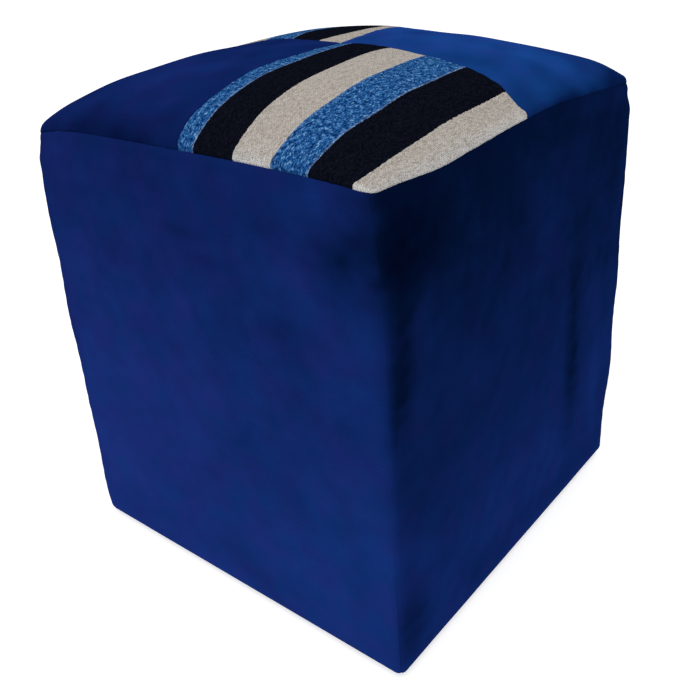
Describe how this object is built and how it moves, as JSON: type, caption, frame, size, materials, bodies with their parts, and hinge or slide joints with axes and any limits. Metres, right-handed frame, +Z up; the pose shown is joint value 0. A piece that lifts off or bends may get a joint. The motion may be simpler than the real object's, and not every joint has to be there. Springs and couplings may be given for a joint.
{
  "type": "pouf",
  "caption": "Cube pouf: boxed softwood frame padded with foam under a fitted blue velvet cover, with a crowned patchwork seat of striped flat weave and plain velvet.",
  "frame": {"origin": "on the floor under the middle of the pouf", "axes": "+Z up; the front is -Y and the pouf's own right hand side, seen from the front, is +X"},
  "size_m": [0.3932, 0.3932, 0.463],
  "materials": {
    "softwood": "planed, unfinished",
    "plywood": "sanded, unfinished",
    "hardboard": "pressed, smooth face out",
    "foam": "open cell",
    "wadding": "fleecy",
    "side_velvet": "short pile with a cloudy nap",
    "top_velvet": "short pile with a cloudy nap",
    "striped_cloth": "flat weave in stripes of blue, black and beige",
    "dust_cloth": "spun bonded, dull",
    "glide_plastic": "moulded",
    "steel": "zinc plated"
  },
  "bodies": {
    "root": {"board_staples": "steel", "bottom_rail_back": "softwood", "bottom_rail_front": "softwood", "bottom_rail_left": "softwood", "bottom_rail_right": "softwood", "corner_post_back_left": "softwood", "corner_post_back_right": "softwood", "corner_post_front_left": "softwood", "corner_post_front_right": "softwood", "crown_pad": "foam", "deck_screws": "steel", "dust_cover": "dust_cloth", "dust_cover_staples": "steel", "glide_back_left": "glide_plastic", "glide_back_right": "glide_plastic", "glide_front_left": "glide_plastic", "glide_front_right": "glide_plastic", "glide_nails": "steel", "hem_staples": "steel", "plain_patch_back_right": "top_velvet", "plain_patch_front_left": "top_velvet", "rail_screws": "steel", "seat_deck": "plywood", "seat_slab": "foam", "side_board_back": "hardboard", "side_board_front": "hardboard", "side_board_left": "hardboard", "side_board_right": "hardboard", "side_cover_back": "side_velvet", "side_cover_front": "side_velvet", "side_cover_left": "side_velvet", "side_cover_right": "side_velvet", "side_foam_back": "foam", "side_foam_front": "foam", "side_foam_left": "foam", "side_foam_right": "foam", "striped_patch_back_left": "striped_cloth", "striped_patch_front_right": "striped_cloth", "top_rail_back": "softwood", "top_rail_front": "softwood", "top_rail_left": "softwood", "top_rail_right": "softwood", "top_wadding": "wadding"}
  },
  "joints": []
}
